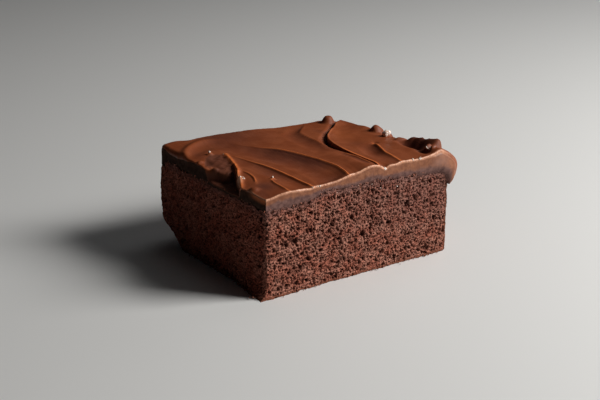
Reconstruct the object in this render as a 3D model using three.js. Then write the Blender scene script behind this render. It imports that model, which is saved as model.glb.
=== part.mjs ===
// A square of chocolate sheet cake with chocolate frosting, cut from the corner of its pan.
// Millimetres, +Z up. The front (-Y) and left (-X) faces are cut; the right (+X) and back (+Y)
// sides stood against the pan, so they are rounded at the foot and share a rounded corner.
import * as THREE from 'three';
import { mergeVertices } from 'three/addons/utils/BufferGeometryUtils.js';

// Driving dimensions
const cakeWidth = 82; // X, along the front cut
const cakeDepth = 70; // Y, along the left cut
const crumbHeight = 31.8; // crumb at the front left corner
const domeRise = 2.3; // how far the crumb rises in the middle
const domeCentre = 45;
const domeReach = 22;
const backRise = 0.8;
const shoulderRadius = 5; // top edge of the crumb on the pan sides
const cornerRadius = 13; // upright corner of the pan
const rightFootRadius = 1.4; // foot of the right side, at the front cut
const backFootRadius = 12; // foot of the back side
const brokenFoot = 14; // the back corner of the left cut is broken away at its foot
const brokenHeight = 9;
const cornerInset = 1.5; // the left cut isn't quite square: it stands in at the near corner
const insetReach = 50;
const footFlare = 3.2; // the near corner spreads where it was pressed down
const flareHeight = 6;
const flareReach = 22;
const backBulge = 1.7; // the far end of the left cut swells a little
const settleGap = 0.3; // between crumb and frosting

// Frosting
const sideLip = 8.5; // how far it runs over the right shoulder, measured along it
const backLip = 5.4;
const lipTaper = [
  [0, 1], [0.08, 1.02], [0.22, 0.9], [0.4, 0.79], [0.58, 0.75], [0.7, 0.67], [0.86, 0.5], [1, 0.2],
];
const squareness = 9; // of the frosting's far left corner
const cornerRound = 1.8; // its cut edge there is rolled over
const leastCover = 0.8; // thinnest frosting, where it was torn

// Smooth curve through [at, value] points, level beyond both ends
function curveThrough(points) {
  const slopes = points.map((point, i) => {
    const before = points[Math.max(i - 1, 0)];
    const after = points[Math.min(i + 1, points.length - 1)];
    return (after[1] - before[1]) / (after[0] - before[0]);
  });
  return (at) => {
    if (at <= points[0][0]) return points[0][1];
    if (at >= points.at(-1)[0]) return points.at(-1)[1];
    const i = points.findIndex((point) => point[0] > at) - 1;
    const span = points[i + 1][0] - points[i][0];
    const t = (at - points[i][0]) / span;
    const rise = points[i + 1][1] - points[i][1];
    return points[i][1] + rise * t * t * (3 - 2 * t)
      + span * t * (1 - t) * (slopes[i] * (1 - t) - slopes[i + 1] * t);
  };
}

const smooth = (low, high, at) => THREE.MathUtils.smoothstep(at, low, high);
const hill = (centre, reach, at) => Math.exp(-(((at - centre) / reach) ** 2));
const mix = THREE.MathUtils.lerp;
const taper = curveThrough(lipTaper);

// How far in the left cut stands, at this place in front of or behind it
const leftInset = (x, y, fade) => cornerInset * Math.max(1 - y / insetReach, 0) * (1 - smooth(0, fade, x));

function crumbTop(x, y) {
  return crumbHeight + domeRise * hill(domeCentre, domeReach, x) + backRise * (y / cakeDepth);
}

// How far a rounded foot or shoulder of this radius stands in from the wall, so far from its edge
function roundedIn(radius, fromEdge) {
  const rest = Math.max(radius - fromEdge, 0);
  return radius - Math.sqrt(radius * radius - rest * rest);
}

// A box of so many segments whose points are moved by place(u, v, w), each from 0 to 1
function mappedBox(columns, rows, layers, place) {
  const box = new THREE.BoxGeometry(1, 1, 1, columns, rows, layers);
  box.deleteAttribute('normal');
  box.deleteAttribute('uv');
  const geometry = mergeVertices(box);
  const spot = geometry.attributes.position;
  for (let i = 0; i < spot.count; i += 1) {
    const column = Math.round((spot.getX(i) + 0.5) * columns);
    const row = Math.round((spot.getY(i) + 0.5) * rows);
    const layer = Math.round((spot.getZ(i) + 0.5) * layers);
    spot.setXYZ(i, ...place(column / columns, row / rows, layer / layers));
  }
  geometry.computeVertexNormals();
  return geometry;
}

// Rows and columns stand closer together towards both ends
const crowdEnds = (t, power) => {
  const side = Math.abs(2 * t - 1);
  return 0.5 + Math.sign(t - 0.5) * 0.5 * (1 - (1 - side) ** power);
};

function spongeGeometry() {
  const place = (u, v, w) => {
    const flatX = mix(0, cakeWidth, u < 0.5 ? u : crowdEnds(u, 1.25));
    const flatY = mix(0, cakeDepth, v < 0.5 ? v : crowdEnds(v, 1.25));
    const top = crumbTop(flatX, flatY);
    const z = top * crowdEnds(w, 1.7);
    const along = flatY / cakeDepth;
    const footRight = mix(rightFootRadius, backFootRadius, smooth(0.1, 0.9, along));
    const inRight = roundedIn(footRight, z) + roundedIn(shoulderRadius, top - z);
    const footBack = backFootRadius * smooth(0, 14, flatX);
    const broken = brokenFoot * Math.max(1 - z / brokenHeight, 0) * (1 - smooth(0, 14, flatX));
    const inBack = roundedIn(footBack, z) + broken + roundedIn(shoulderRadius, top - z);
    const bulge = backBulge * (1 - smooth(1, 12, flatX)) * smooth(3, 12, z) * (1 - smooth(24, 30, z));
    let x = flatX * (1 - inRight / cakeWidth);
    let y = flatY * (1 + (bulge - inBack) / cakeDepth);
    // the upright pan corner
    const overX = x - (cakeWidth - inRight - cornerRadius);
    const overY = y - (cakeDepth - inBack - cornerRadius);
    if (overX > 0 && overY > 0) {
      const pull = Math.max(overX, overY) / Math.hypot(overX, overY);
      x += overX * (pull - 1);
      y += overY * (pull - 1);
    }
    // the near corner spreads at its foot
    const low = Math.max(1 - z / flareHeight, 0) ** 2;
    const near = Math.max(1 - Math.hypot(x, y) / flareReach, 0);
    x += leftInset(x, y, 30) - footFlare * low * near;
    y -= 0.3 * footFlare * low * near;
    return [x, y, z];
  };
  return mappedBox(22, 18, 10, place);
}

// Strokes of the palette knife. Each leaves a crest along its path, [y, x], which falls away gently to
// the right; on the left a small step drops into a scooped track. [y, share] says how strong it is.
const strokes = {
  near: {
    path: [[0, 11], [7, 11.3], [11, 11.8], [16, 13.5]],
    strength: [[12, 1], [16, 0]], crest: 0.3, step: 0.05, track: 0.15, right: 3.5, left: 7,
  },
  second: {
    path: [[0, 21.3], [10, 20.8], [20, 20], [27, 19.1], [33, 17.5], [40, 15.4], [46, 13.3]],
    strength: [[29, 1], [39, 0.45], [47, 0.1]], crest: 0.35, step: 0.15, track: 0.5, right: 5, left: 7,
  },
  third: {
    path: [[0, 36.4], [6, 37.8], [12, 38.7], [20, 38.1], [28, 36.7], [34, 35], [40, 32], [46, 27.6],
      [51, 24.2], [56, 20.8], [60, 16.5]],
    strength: [[40, 1], [50, 0.3], [56, 0]], crest: 0.28, step: 0.05, track: 1.3, right: 6, left: 13,
  },
  crease: {
    path: [[26, 50.2], [35, 50.6], [41, 51], [50, 51.6], [55, 53.3], [60, 58], [66, 63]],
    strength: [[25, 0], [36, 1], [58, 1], [66, 0]], crest: 0.18, step: 0, track: 0.55, right: 5, left: 8,
  },
  fold: {
    path: [[0, 51.3], [8, 51.8], [15, 52], [22, 52.6], [28, 53.1], [33, 53.9], [38, 55.5], [43.5, 58.7],
      [47, 62], [50, 65], [53, 68.5], [57, 72.5], [61, 77]],
    strength: [[0, 0.2], [20, 0.25], [27, 0.45], [34, 1], [53, 1], [60, 0.3]],
    crest: 0.65, step: 2.1, track: 0.2, right: 6, left: 4.6,
  },
  last: {
    path: [[0, 60.1], [5, 61.3], [10, 62.5], [15, 63.5], [22, 66.1], [27, 67.6]],
    strength: [[0, 0.5], [12, 0.6], [19, 1], [24, 1], [29, 0]],
    crest: 0.35, step: 0.1, track: 0.8, right: 5, left: 8,
  },
};
for (const stroke of Object.values(strokes)) {
  stroke.x = curveThrough(stroke.path);
  stroke.share = curveThrough(stroke.strength);
}
const steepWidth = 0.6; // of the drop on the left of a crest

// Where the knife came round behind the torn place, before it ran forward again
const sweep = {
  centre: [13, 49.5], radius: 12.4, width: 1.9, rise: 0.8, hollow: 0.8, hollowAt: 7.5, hollowWidth: 3.4,
};

// Height of the frosting from front to back, left to right, before strokes and lumps
const heightAt = [0, 11, 22, 34, 40, 46, 54, 64, 70, 77];
const frontHeights = [36.3, 37.7, 37, 38.4, 38.8, 40.3, 39.2, 39.1, 38.8, 40.3];
const middleHeights = [37.6, 38.1, 37.9, 38.5, 38.4, 38.3, 38.5, 38.2, 38.1, 38.2];
const backHeights = [38, 39.7, 39.8, 39.2, 38.7, 38.2, 37.4, 37, 37, 37];
const profile = (heights) => curveThrough(heightAt.map((x, i) => [x, heights[i]]));
const [frontProfile, middleProfile, backProfile] = [frontHeights, middleHeights, backHeights].map(profile);

// Lumps and hollows: where, how far they reach in X and Y, and how high they stand
const lumps = [
  { at: [71.4, 61.6], reach: [2.4, 2.2], rise: 3.4 }, // curled tip behind the fold
  { at: [1, 70], reach: [7, 3.5], rise: 1.3 }, // far left corner
  { at: [62, 33], reach: [4.5, 8], rise: -0.7 }, // valley right of the fold
  { at: [60, 16], reach: [3.5, 8], rise: -0.7 },
  { at: [52.2, 0], reach: [1.6, 3], rise: -1.5 }, // nick in the front rim
  { at: [76.7, 15], reach: [1.8, 6], rise: -3.2 }, // pocket behind the front lip
  { at: [82.3, 6.5], reach: [3, 3.6], rise: 0.8 }, // curl over the pocket
  { at: [81, 0], reach: [3, 5], rise: 1.9 },
  { at: [79.5, 34], reach: [3, 6], rise: -0.8 },
  { at: [78.5, 45], reach: [4, 5.5], rise: 0.6 },
  { at: [0, 24], reach: [4, 8], rise: -1.6 }, // cut edge below the torn place
  { at: [73.5, 57], reach: [3, 3], rise: 0.5 },
  { at: [78.2, 39.1], reach: [1.9, 2.2], rise: 2.4 }, // torn lumps along the right edge
  { at: [77.6, 31.5], reach: [1.7, 1.8], rise: 1.8 },
  { at: [77.9, 24], reach: [1.9, 1.8], rise: 0.9 },
];

// Thin wall of torn frosting that stands along the right edge, behind the pocket
const tornWall = {
  height: 3.8,
  width: 1,
  x: curveThrough([[4, 79.5], [8, 79.2], [12, 79], [25, 78.9]]),
  share: curveThrough([
    [5, 0], [6.8, 1.05], [8, 1.2], [10, 1.15], [13, 1.05], [17, 0.85], [20, 0.68], [22, 0.15], [24, 0],
  ]),
};

// The torn edge on the left: frosting is missing inside this rim
const rimRight = curveThrough([
  [13, -1], [15.5, 1], [20.4, 4.5], [24.5, 6.2], [28.5, 8.3], [33, 10], [37.6, 11.3], [42, 12.5], [46, 13.2],
]);
const rimBack = curveThrough([[0, 39.5], [2, 42.5], [4, 45.5], [6.5, 48], [9, 49.3], [13, 49.3]]);
const notchBack = curveThrough([[0, 38], [2.2, 35], [4.1, 31.5], [6, 31], [9, 32.2]]);
const tornDepth = curveThrough([[30, 1.1], [36, 0.55], [46, 0.2]]);
const notchDepth = 4.6; // where the tear goes down to the crumb
const tornCurl = 0.8; // the torn edge stands up in a thin curl

function strokeHeight(stroke, x, y) {
  const from = x - stroke.x(y);
  const beyond = THREE.MathUtils.clamp((-from - steepWidth) / stroke.left, 0, 1);
  let z = -stroke.step * (1 - beyond) ** 2 - stroke.track * Math.sin(Math.PI * beyond ** 0.8);
  if (from > -steepWidth) z = mix(stroke.crest, -stroke.step, smooth(0, steepWidth, -from));
  if (from >= 0) z = stroke.crest * Math.max(1 - from / stroke.right, 0) ** 2;
  // fainter towards the front cut, where the knife pressed the frosting flat
  return stroke.share(y) * (0.35 + 0.65 * smooth(0.2, 4, y)) * z;
}

function sweepHeight(x, y) {
  const away = Math.hypot(x - sweep.centre[0], y - sweep.centre[1]);
  const share = smooth(-1, 6, y - sweep.centre[1]) * (1 - smooth(14, 27, x));
  const ridge = sweep.rise * hill(sweep.radius, sweep.width, away);
  return share * (ridge - sweep.hollow * hill(sweep.hollowAt, sweep.hollowWidth, away));
}

function frostingTop(x, y) {
  const back = y / cakeDepth;
  const near = 1 - back;
  let z = near * (1 - 2 * back) * frontProfile(x) + 4 * near * back * middleProfile(x)
    - back * (1 - 2 * back) * backProfile(x);
  for (const stroke of Object.values(strokes)) z += strokeHeight(stroke, x, y);
  for (const { at, reach, rise } of lumps) z += rise * hill(at[0], reach[0], x) * hill(at[1], reach[1], y);
  z += tornWall.height * tornWall.share(y) * hill(0, tornWall.width, x - tornWall.x(y));
  z += sweepHeight(x, y);
  const curled = smooth(13, 17, y) * (1 - smooth(48, 49.5, y));
  z += tornCurl * hill(-0.6, 1.1, rimRight(y) - x) * curled * mix(1, 0.3, smooth(29, 38, y));
  const inside = Math.min(rimRight(y) - x, 0.8 * (rimBack(x) - y));
  const torn = y > 13 ? smooth(-0.3, 1.5, inside) : 0;
  return z - mix(tornDepth(y), notchDepth, smooth(-0.5, 1.7, 0.6 * (notchBack(x) - y))) * torn;
}

// Frosting columns follow the torn rim and the strokes, so that each crest runs along an edge
const edgeX = cakeWidth - shoulderRadius;
const guides = [
  () => 0,
  (y) => Math.min(Math.max(rimRight(y), 1.6), strokes.second.x(y) - 1.4),
  strokes.second.x,
  strokes.third.x,
  (y) => Math.min(strokes.fold.x(y), 71.5),
  (y) => Math.min(strokes.last.x(y) + 0.08 * y, 74.5),
  () => edgeX,
];
const columnsBetween = [4, 6, 7, 8, 7, 6];
const lipColumns = 10;
const rowsAcross = 28;
const lipRows = 4;

function sheetX(column, y) {
  let left = column;
  for (let i = 0; i < columnsBetween.length; i += 1) {
    if (left <= columnsBetween[i]) return mix(guides[i](y), guides[i + 1](y), left / columnsBetween[i]);
    left -= columnsBetween[i];
  }
  return edgeX + (left / lipColumns) * sideLip;
}

// A point of the frosting: over the crumb it stands straight up, past the shoulder it leans out and over
function frostingPoint(x, y, w) {
  const core = cornerRadius - shoulderRadius;
  let overX = x - (cakeWidth - cornerRadius);
  let overY = y - (cakeDepth - cornerRadius);
  if (overX > 0 && overY > 0) {
    const shareX = overX / (core + sideLip);
    const shareY = overY / (core + backLip);
    const pull = Math.max(shareX, shareY) / Math.hypot(shareX, shareY);
    overX *= pull;
    overY *= pull;
  }
  const reach = overX > 0 && overY > 0 ? Math.hypot(overX, overY) : Math.max(overX, overY);
  const past = Math.max(reach - core, 0);
  const sideways = new THREE.Vector2(Math.max(overX, 0), Math.max(overY, 0));
  if (overX <= 0 || overY <= 0) sideways.set(overX > overY ? 1 : 0, overX > overY ? 0 : 1);
  sideways.normalize();
  const lastX = cakeWidth - cornerRadius + overX - past * sideways.x;
  const lastY = cakeDepth - cornerRadius + overY - past * sideways.y;
  const lip = mix(backLip, sideLip, sideways.x ** 2);
  const lean = past / (shoulderRadius + settleGap);
  const crumb = crumbTop(lastX, lastY);
  const bare = frostingTop(lastX + past * sideways.x, lastY + past * sideways.y) - crumb - settleGap;
  let cover = Math.max(bare * taper(past / lip), leastCover);
  // at the far end of the left cut it stands nearly square, and the cut edge is rolled over
  const onTop = (bare + shoulderRadius) / Math.max(Math.cos(lean), 0.2);
  const atSide = (shoulderRadius + 0.2) / Math.max(Math.sin(lean), 0.05);
  const square = (onTop ** -squareness + atSide ** -squareness) ** (-1 / squareness);
  const squared = sideways.y ** 2 * (1 - smooth(4, 16, x)) * smooth(0.3, 1, past);
  cover = mix(cover, square - shoulderRadius, squared);
  cover -= roundedIn(cornerRound, x) * smooth(46, 56, y) * (1 - smooth(63, 70, y));
  const out = shoulderRadius + settleGap + w * cover;
  return [
    lastX + sideways.x * out * Math.sin(lean) + leftInset(x, y, 14),
    lastY + sideways.y * out * Math.sin(lean),
    crumb - shoulderRadius + out * Math.cos(lean),
  ];
}

function frostingGeometry() {
  const columns = columnsBetween.reduce((sum, count) => sum + count, 0) + lipColumns;
  const rows = rowsAcross + lipRows;
  const place = (u, v, w) => {
    const row = v * rows;
    const flatDepth = cakeDepth - shoulderRadius;
    const y = row <= rowsAcross
      ? (row / rowsAcross) ** 1.2 * flatDepth
      : flatDepth + ((row - rowsAcross) / lipRows) * backLip;
    return frostingPoint(sheetX(u * columns, y), y, w);
  };
  return mappedBox(columns, rows, 1, place);
}

function piece(name, geometry, material) {
  const mesh = new THREE.Mesh(geometry, new THREE.MeshStandardMaterial(material));
  mesh.name = name;
  return mesh;
}

const cake = new THREE.Group();
cake.add(piece('sponge', spongeGeometry(), { color: 0x4a2a20, roughness: 0.95, metalness: 0 }));
cake.add(piece('frosting', frostingGeometry(), { color: 0x6b3a26, roughness: 0.4, metalness: 0 }));

// The origin is at the middle of the base
cake.updateMatrixWorld(true);
const middle = new THREE.Box3().setFromObject(cake, true).getCenter(new THREE.Vector3());
cake.position.set(-middle.x, -middle.y, 0);

export default cake;
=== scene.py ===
import math
from functools import partial
from itertools import product

import bmesh
import bpy
import numpy as np
import openvdb
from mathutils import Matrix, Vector


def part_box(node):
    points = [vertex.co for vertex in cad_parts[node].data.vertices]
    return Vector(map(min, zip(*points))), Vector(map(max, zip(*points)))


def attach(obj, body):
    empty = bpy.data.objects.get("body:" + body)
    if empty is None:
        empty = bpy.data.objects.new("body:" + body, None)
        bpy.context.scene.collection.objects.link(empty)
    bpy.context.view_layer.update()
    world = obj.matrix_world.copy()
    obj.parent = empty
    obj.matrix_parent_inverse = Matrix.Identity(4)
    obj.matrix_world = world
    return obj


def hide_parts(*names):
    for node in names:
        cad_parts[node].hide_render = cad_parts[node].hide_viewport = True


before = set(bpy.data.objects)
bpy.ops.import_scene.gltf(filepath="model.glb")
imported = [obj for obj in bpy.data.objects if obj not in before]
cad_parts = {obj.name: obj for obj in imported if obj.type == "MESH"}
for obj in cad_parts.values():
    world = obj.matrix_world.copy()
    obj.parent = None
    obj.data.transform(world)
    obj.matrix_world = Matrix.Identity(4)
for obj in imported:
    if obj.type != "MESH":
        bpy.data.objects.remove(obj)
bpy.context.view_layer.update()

# The cake is worked out in millimetres from its near corner: x along the front cut,
# y along the left cut, z up. These two turn that into the frame's metres.
mm = 0.001
nearCorner = Vector((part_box("frosting")[0].x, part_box("frosting")[0].y, 0))


def curveThrough(points):
    # smooth curve through [at, value] points, level beyond both ends
    at, value = np.array(points, float).T
    slope = np.empty(len(at))
    for i in range(len(at)):
        a, b = max(i - 1, 0), min(i + 1, len(at) - 1)
        slope[i] = (value[b] - value[a]) / (at[b] - at[a])

    def read(where):
        where = np.clip(np.asarray(where, float), at[0], at[-1])
        i = np.clip(np.searchsorted(at, where, side="right") - 1, 0, len(at) - 2)
        span = at[i + 1] - at[i]
        t = (where - at[i]) / span
        blend = t * t * (3 - 2 * t)
        bow = span * t * (1 - t) * (slope[i] * (1 - t) - slope[i + 1] * t)
        return value[i] + (value[i + 1] - value[i]) * blend + bow

    return read


def ramp(low, high, at):
    t = np.clip((np.asarray(at) - low) / (high - low), 0, 1)
    return t * t * (3 - 2 * t)


def bump(middle, reach, at):
    return np.exp(-(((at - middle) / reach) ** 2))


def mix(a, b, share):
    return a + (b - a) * share


def noiseLattice(seed):
    return np.random.default_rng(seed).uniform(-1, 1, (64, 64, 64)).astype(np.float32)


def latticePlace(along, size):
    # the lattice cell that each place is in, and how far through it
    spot = np.asarray(along, np.float64) / size + 640
    cell = np.floor(spot).astype(np.int32)
    part = (spot - cell).astype(np.float32)
    return cell, part * part * (3 - 2 * part)


def softNoise(x, y, z, size, seed):
    # smooth noise from -1 to 1 whose blobs are about size across
    lattice = noiseLattice(seed)
    cell, part = zip(*[latticePlace(v, size) for v in (x, y, z)])
    total = 0
    for corner in product((0, 1), repeat=3):
        share = math.prod(p if c else 1 - p for p, c in zip(part, corner))
        total = total + share * lattice[tuple((k + c) % 64 for k, c in zip(cell, corner))]
    return total


def gridNoise(axes, size, seed):
    # the same noise over a whole grid of places, one axis at a time
    shares, picks = [], []
    for axis in axes:
        cell, part = latticePlace(axis, size)
        first, rows = cell.min(), np.arange(len(axis))
        share = np.zeros((len(axis), cell.max() - first + 2), np.float32)
        share[rows, cell - first] = 1 - part
        share[rows, cell - first + 1] = part
        shares.append(share)
        picks.append((first + np.arange(share.shape[1])) % 64)
    block = noiseLattice(seed)[np.ix_(*picks)]
    for share in shares:
        block = np.tensordot(block, share, (0, 1))
    return block


def layeredNoise(x, y, z, size, seed, layers):
    # each further layer is half as large and half as strong
    return sum(softNoise(x, y, z, size / 2**n, seed + n) / 2**n for n in range(layers))


def mixedNoise(x, y, z, kinds):
    # kinds: strength, size and seed of each
    return sum(strength * softNoise(x, y, z, size, seed) for strength, size, seed in kinds)


def newPiece(name, points, faces, materials, node, values={}, kinds=None):
    # a piece in the frame, with values at its points that the materials read
    mesh = bpy.data.meshes.new(name)
    mesh.from_pydata((np.asarray(points) * mm + np.array(nearCorner)).tolist(), [], faces)
    for material in materials:
        mesh.materials.append(material)
    mesh.polygons.foreach_set("use_smooth", [True] * len(mesh.polygons))
    if kinds is not None:
        mesh.polygons.foreach_set("material_index", kinds)
    for key, value in values.items():
        mesh.attributes.new(key, "FLOAT", "POINT").data.foreach_set("value", np.asarray(value, np.float32))
    mesh.validate()
    piece = bpy.data.objects.new(name, mesh)
    bpy.context.scene.collection.objects.link(piece)
    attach(piece, "root")
    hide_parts(node)
    mesh.calc_loop_triangles()
    print(name, len(mesh.loop_triangles), "triangles")


# the cake's own form
cake = {
    "width": 82,  # along the front cut
    "depth": 70,
    "crumbHeight": 31.8,  # at the near corner
    "domeRise": 2.3,  # it is higher in the middle
    "domeCentre": 45,
    "domeReach": 22,
    "peakAt": 27.6,  # a peak of crumb at the front cut, where the frosting is thin
    "peakReach": 4.5,
    "peakRise": 2,
    "backRise": 0.8,
    "shoulder": 5,  # radius of the top edge on the pan sides
    "panCorner": 13,  # radius of the upright pan corner
    "rightFoot": 1.4,  # radii of its foot on the right and at the back
    "backFoot": 12,
    "brokenFoot": 14,  # the back corner of the left cut is broken away at its foot
    "brokenHeight": 9,
    "cornerInset": 1.5,  # the left cut isn't quite square: it stands in at the near corner
    "insetReach": 50,
    "footFlare": 3.2,  # the near corner spreads where it was pressed down
    "flareHeight": 6,
    "flareReach": 22,
    "backBulge": 1.7,  # the far end of the left cut swells a little
}


def crumbTop(x, y):
    dome = cake["domeRise"] * bump(cake["domeCentre"], cake["domeReach"], x)
    peak = cake["peakRise"] * bump(cake["peakAt"], cake["peakReach"], x) * bump(0, cake["peakReach"], y)
    return cake["crumbHeight"] + dome + peak + cake["backRise"] * (y / cake["depth"])


def leftInset(y):
    return cake["cornerInset"] * np.maximum(1 - y / cake["insetReach"], 0)


# the frosting spread on it
frosting = {
    "gap": 0.3,  # over the crumb, before it sinks in
    "sink": 0.9,  # how far it is pressed into the crumb
    "sideLip": 8.5,  # how far it runs over the right shoulder
    "backLip": 5.4,
    "taper": [[0, 1], [0.08, 1.02], [0.22, 0.9], [0.4, 0.79], [0.58, 0.75], [0.7, 0.67],
              [0.86, 0.5], [1, 0.2]],  # how thick a lip is on its way down
    "leastCover": 0.8,
    "squareness": 9,  # of its edge at the far end of the left cut, and how far along the back
    "squareFrom": (16, 4),
    "steepWidth": 0.55,  # of the drop on the left of a crest
    "roll": 0.2,  # small rolled edge on a crest, with its place and width
    "rollAt": (0.25, 0.35),
    "frontShare": 0.35,  # what is left of a stroke at the front cut, where it was pressed flat
    "pointEvery": 0.34,  # closer together beside the crests and on the lips
    "crowding": 0.6,
    "lipCrowding": (1.7, 1.5),
    "layers": 12,
    "coarseStep": 4,  # the hidden underside has one point for so many on top
    "edgeRadius": 0.4,
    "cornerRound": 1.8,  # the far end of the left cut is rolled over, from y to y
    "rolledFrom": (46, 56),
    "rolledTo": (70, 63),
    "lipRadius": 1.8,  # the lip's front end is rounder, and swells out
    "lipFrom": (72, 80),
    "lipSwell": 1.3,
    "lipSwellFrom": (68, 81),
    "bead": 0.3,  # raised rim along the front cut, with its place and width
    "beadAt": (0.5, 0.4),
    "footLean": 0.5,  # how far the cut faces lean in at the bottom
    # its height above the plate at these places along x, at the front, halfway and at the back
    "heightAt": [0, 11, 22, 34, 40, 46, 54, 64, 70, 77],
    "front": [36.3, 37.7, 37, 38.4, 38.8, 40.3, 39.2, 39.1, 38.8, 40.3],
    "middle": [37.6, 38.1, 37.9, 38.5, 38.4, 38.3, 38.5, 38.2, 38.1, 38.2],
    "back": [38, 39.7, 39.8, 39.2, 38.7, 38.2, 37.4, 37, 37, 37],
    # slow swells and torn roughness: strength, size and seed
    "swells": [(0.1, 7, 62), (0.06, 3, 63)],
    "tears": [(0.45, 1.9, 65), (0.22, 0.9, 66)],
    "streaks": 0.045,  # fine streaks along the strokes
    "streakLength": 14,
    "drag": 0.05,  # streaks up and down the cuts
}

# knife strokes: path [y, x], how strong they are along y, and how bright the painted highlight on their
# thin edge is;
# crest above the rest, step down at its foot, depth of the scooped track beyond and how much painted shade
# it gets, reach to each side, and how far the crest hangs over the track
strokes = {
    "near": dict(
        path=[[0, 11], [7, 11.3], [11, 11.8], [16, 13.5]],
        strength=[[12, 1], [16, 0]], edge=[[12, 0.6], [15.5, 0.4], [17, 0]],
        crest=0.25, step=0.04, track=0.15, shade=0.25, right=3.5, left=7, hang=0.1),
    "arc": dict(
        path=[[14, 6], [16.7, 7.4], [20, 8.7], [23.5, 9.3], [27, 9.2], [30, 8.9]],
        strength=[[13, 0], [16, 1], [25, 1], [29, 0]], edge=[[13, 0], [16, 0.6], [24, 0.6], [28, 0]],
        crest=0.2, step=0.03, track=0, shade=0.1, right=2, left=1.6, hang=0.1),
    "second": dict(
        path=[[0, 21.3], [10, 20.8], [20, 20], [27, 19.1], [33, 17.5], [40, 15.4], [46, 13.3]],
        strength=[[29, 1], [39, 0.45], [47, 0.1]], edge=[[28, 0.95], [35, 0.4], [44, 0]],
        crest=0.32, step=0.15, track=0.5, shade=0.6, right=5, left=7, hang=0.05),
    "third": dict(
        path=[[0, 36.4], [6, 37.8], [12, 38.7], [20, 38.1], [28, 36.7], [34, 35], [40, 32],
              [46, 27.6], [51, 24.2], [56, 20.8], [60, 16.5]],
        strength=[[40, 1], [50, 0.3], [56, 0]], edge=[[30, 1], [40, 0.6], [48, 0]],
        crest=0.25, step=0.05, track=1.3, shade=1, right=6, left=13, hang=0),
    "crease": dict(
        path=[[26, 50.2], [35, 50.6], [41, 51], [50, 51.6], [55, 53.3], [60, 58], [66, 63]],
        strength=[[25, 0], [36, 1], [58, 1], [66, 0]], edge=[[30, 0], [40, 0.12], [60, 0]],
        crest=0.15, step=0, track=0.55, shade=0.5, right=5, left=8, hang=0),
    "belowFold": dict(
        path=[[5, 50], [11, 50.4], [16, 50.8], [21, 50.5], [24, 50.6]],
        strength=[[4, 0], [7, 1], [20, 1], [23, 0]], edge=[[4, 0], [8, 0.5], [20, 0.6], [23, 0]],
        crest=0.2, step=0.05, track=0.15, shade=0.5, right=1.4, left=3, hang=0),
    "fold": dict(
        path=[[0, 51.3], [8, 51.8], [15, 52], [22, 52.6], [28, 53.1], [33, 53.9], [38, 55.5],
              [43.5, 58.7], [47, 62], [50, 65], [53, 68.5], [57, 72.5], [61, 77]],
        strength=[[0, 0.2], [20, 0.25], [27, 0.45], [34, 1], [55, 1], [62, 0.3]],
        edge=[[0, 0.8], [24, 0.9], [30, 0.3], [50, 0.25], [70, 0.1]],
        crest=0.6, step=2.1, track=0.2, shade=1, right=6, left=4.6, hang=0.6),
    "last": dict(
        path=[[0, 60.1], [5, 61.3], [10, 62.5], [15, 63.5], [22, 66.1], [27, 67.6]],
        strength=[[0, 0.5], [12, 0.6], [19, 1], [24, 1], [29, 0]],
        edge=[[0, 0.8], [22, 1], [26, 0.8], [28.5, 0]],
        crest=0.32, step=0.1, track=0.8, shade=0.6, right=5, left=8, hang=0.05),
}
for stroke in strokes.values():
    stroke["x"] = curveThrough(stroke["path"])
    stroke["share"] = curveThrough(stroke["strength"])
    stroke["edgeShare"] = curveThrough(stroke["edge"])

# where the knife came round behind the torn place, before it ran forward again
sweep = {
    "centre": (13, 49.5),
    "radius": 12.4,  # of its ridge
    "width": 1.7,
    "rise": 0.8,
    "fade": (27, 14),  # it fades out towards the right, from x to x
    "hollow": 0.8,  # depth of the hollow inside it, and how far out that lies
    "hollowAt": 7.5,
    "hollowWidth": 3.4,
    "dark": 0.45,  # how much painted shade darkens the hollow
    "pale": 0.06,  # how much paler the ridge is, as painted highlight
    "paleWidth": 1.4,
    "paleFade": (20, 8),
}

# where the frosting was torn off on the left: its rim on the right, x along y, and at the back,
# y along x, and the notch behind the left cut, where it is torn down to the crumb
tear = {
    "front": 13,  # it is whole in front of this
    "rimRight": [[13, -1], [15.5, 0.4], [20.4, 3.4], [24.5, 5.2], [28.5, 7.7], [33, 9.8],
                 [37.6, 11.3], [42, 12.5], [46, 13.2]],
    "rimBack": [[0, 39.5], [2, 42.5], [4, 45.5], [6.5, 48], [9, 49.3], [11, 48], [13, 46.5]],
    "notchBack": [[0, 38], [2.2, 35], [4.1, 31.5], [6, 31], [9, 32.2]],
    "depth": [[30, 1.1], [36, 0.55], [46, 0.2]],
    "notchDepth": 4.6,
    "slope": (-0.3, 1.5),  # how far across its rim and the notch's slope down
    "notchSlope": (-0.2, 1.1),
    "curl": 0.8,  # its rim curls up from y to y, and hangs over by so much
    "curlFrom": (13, 17),
    "curlTo": (48, 45),
    "overhang": 0.5,
    "dark": (0.62, 0.7),  # how dark the torn frosting is, and the notch, which gets more of it as painted shade
    "rimHighlight": 0.85,  # painted highlight: its rim is pale where it curls up
    "rimGlint": 1.6,  # and a painted glint, palest of all, on a short stretch: place and reach along y
    "glintAt": (21.3, 2.4),
}
rimRight, rimBack, notchBack, tornDepth = [
    curveThrough(tear[key]) for key in ("rimRight", "rimBack", "notchBack", "depth")]

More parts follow.
